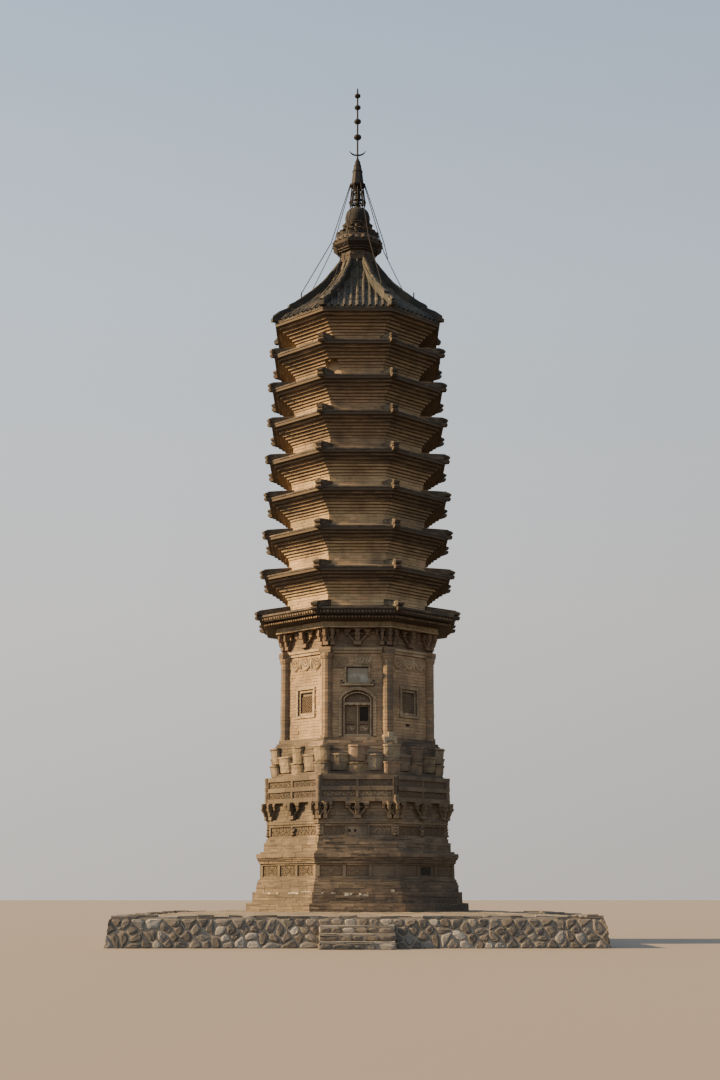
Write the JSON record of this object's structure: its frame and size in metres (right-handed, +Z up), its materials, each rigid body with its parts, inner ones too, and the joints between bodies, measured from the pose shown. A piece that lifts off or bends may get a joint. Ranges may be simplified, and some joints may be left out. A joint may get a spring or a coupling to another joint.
{
  "type": "brick pagoda",
  "caption": "Octagonal close-eaved brick pagoda on a carved base with lotus petals, false doors and windows, an iron spire, and a square rubble terrace with steps.",
  "frame": {"origin": "on the tower's axis at ground level, in the middle of the terrace's underside", "axes": "+Z up the tower, -Y out of the front facet, where the steps and the front door are"},
  "size_m": [10.94, 11.84, 23.072],
  "materials": {
    "rubble_stone": "rough rubble in pale mortar",
    "step_stone": "worn, rough",
    "terrace_fill": "packed earth and broken brick",
    "brick": "weathered grey-tan brick",
    "carved_brick": "carved and weathered",
    "lotus_brick": "carved and weathered",
    "column_brick": "weathered, reddish",
    "tablet_stone": "dressed, dusty",
    "eave_tile": "old grey tile and brick",
    "roof_tile": "old grey-green tile",
    "iron": "rusted"
  },
  "bodies": {
    "root": {"terrace_wall": "rubble_stone", "step_lower": "step_stone", "step_middle": "step_stone", "step_upper": "step_stone", "terrace_fill": "terrace_fill", "footing": "brick", "base_cornice": "brick", "waist": "brick", "wall_foot": "brick", "storey_wall": "brick", "tier_2": "brick", "tier_3": "brick", "tier_4": "brick", "tier_5": "brick", "tier_6": "brick", "tier_7": "brick", "tier_8": "brick", "tier_9": "brick", "spire_pedestal": "brick", "lower_panel_band": "carved_brick", "upper_panel_band": "carved_brick", "base_brackets": "carved_brick", "balustrade": "carved_brick", "architrave": "carved_brick", "eave_1_brackets": "carved_brick", "door_front": "carved_brick", "door_right": "carved_brick", "door_back": "carved_brick", "door_left": "carved_brick", "window_front_right": "carved_brick", "window_back_right": "carved_brick", "window_back_left": "carved_brick", "window_front_left": "carved_brick", "lotus_band": "lotus_brick", "spire_lotus": "lotus_brick", "spire_dome": "lotus_brick", "column_1": "column_brick", "column_2": "column_brick", "column_3": "column_brick", "column_4": "column_brick", "column_5": "column_brick", "column_6": "column_brick", "column_7": "column_brick", "column_8": "column_brick", "tablet_front": "tablet_stone", "tablet_right": "tablet_stone", "tablet_back": "tablet_stone", "tablet_left": "tablet_stone", "eave_1_rafters": "eave_tile", "eave_1_roof": "eave_tile", "top_roof": "roof_tile", "spire_cage": "iron", "spire_mast": "iron", "spire_stays": "iron"}
  },
  "joints": []
}
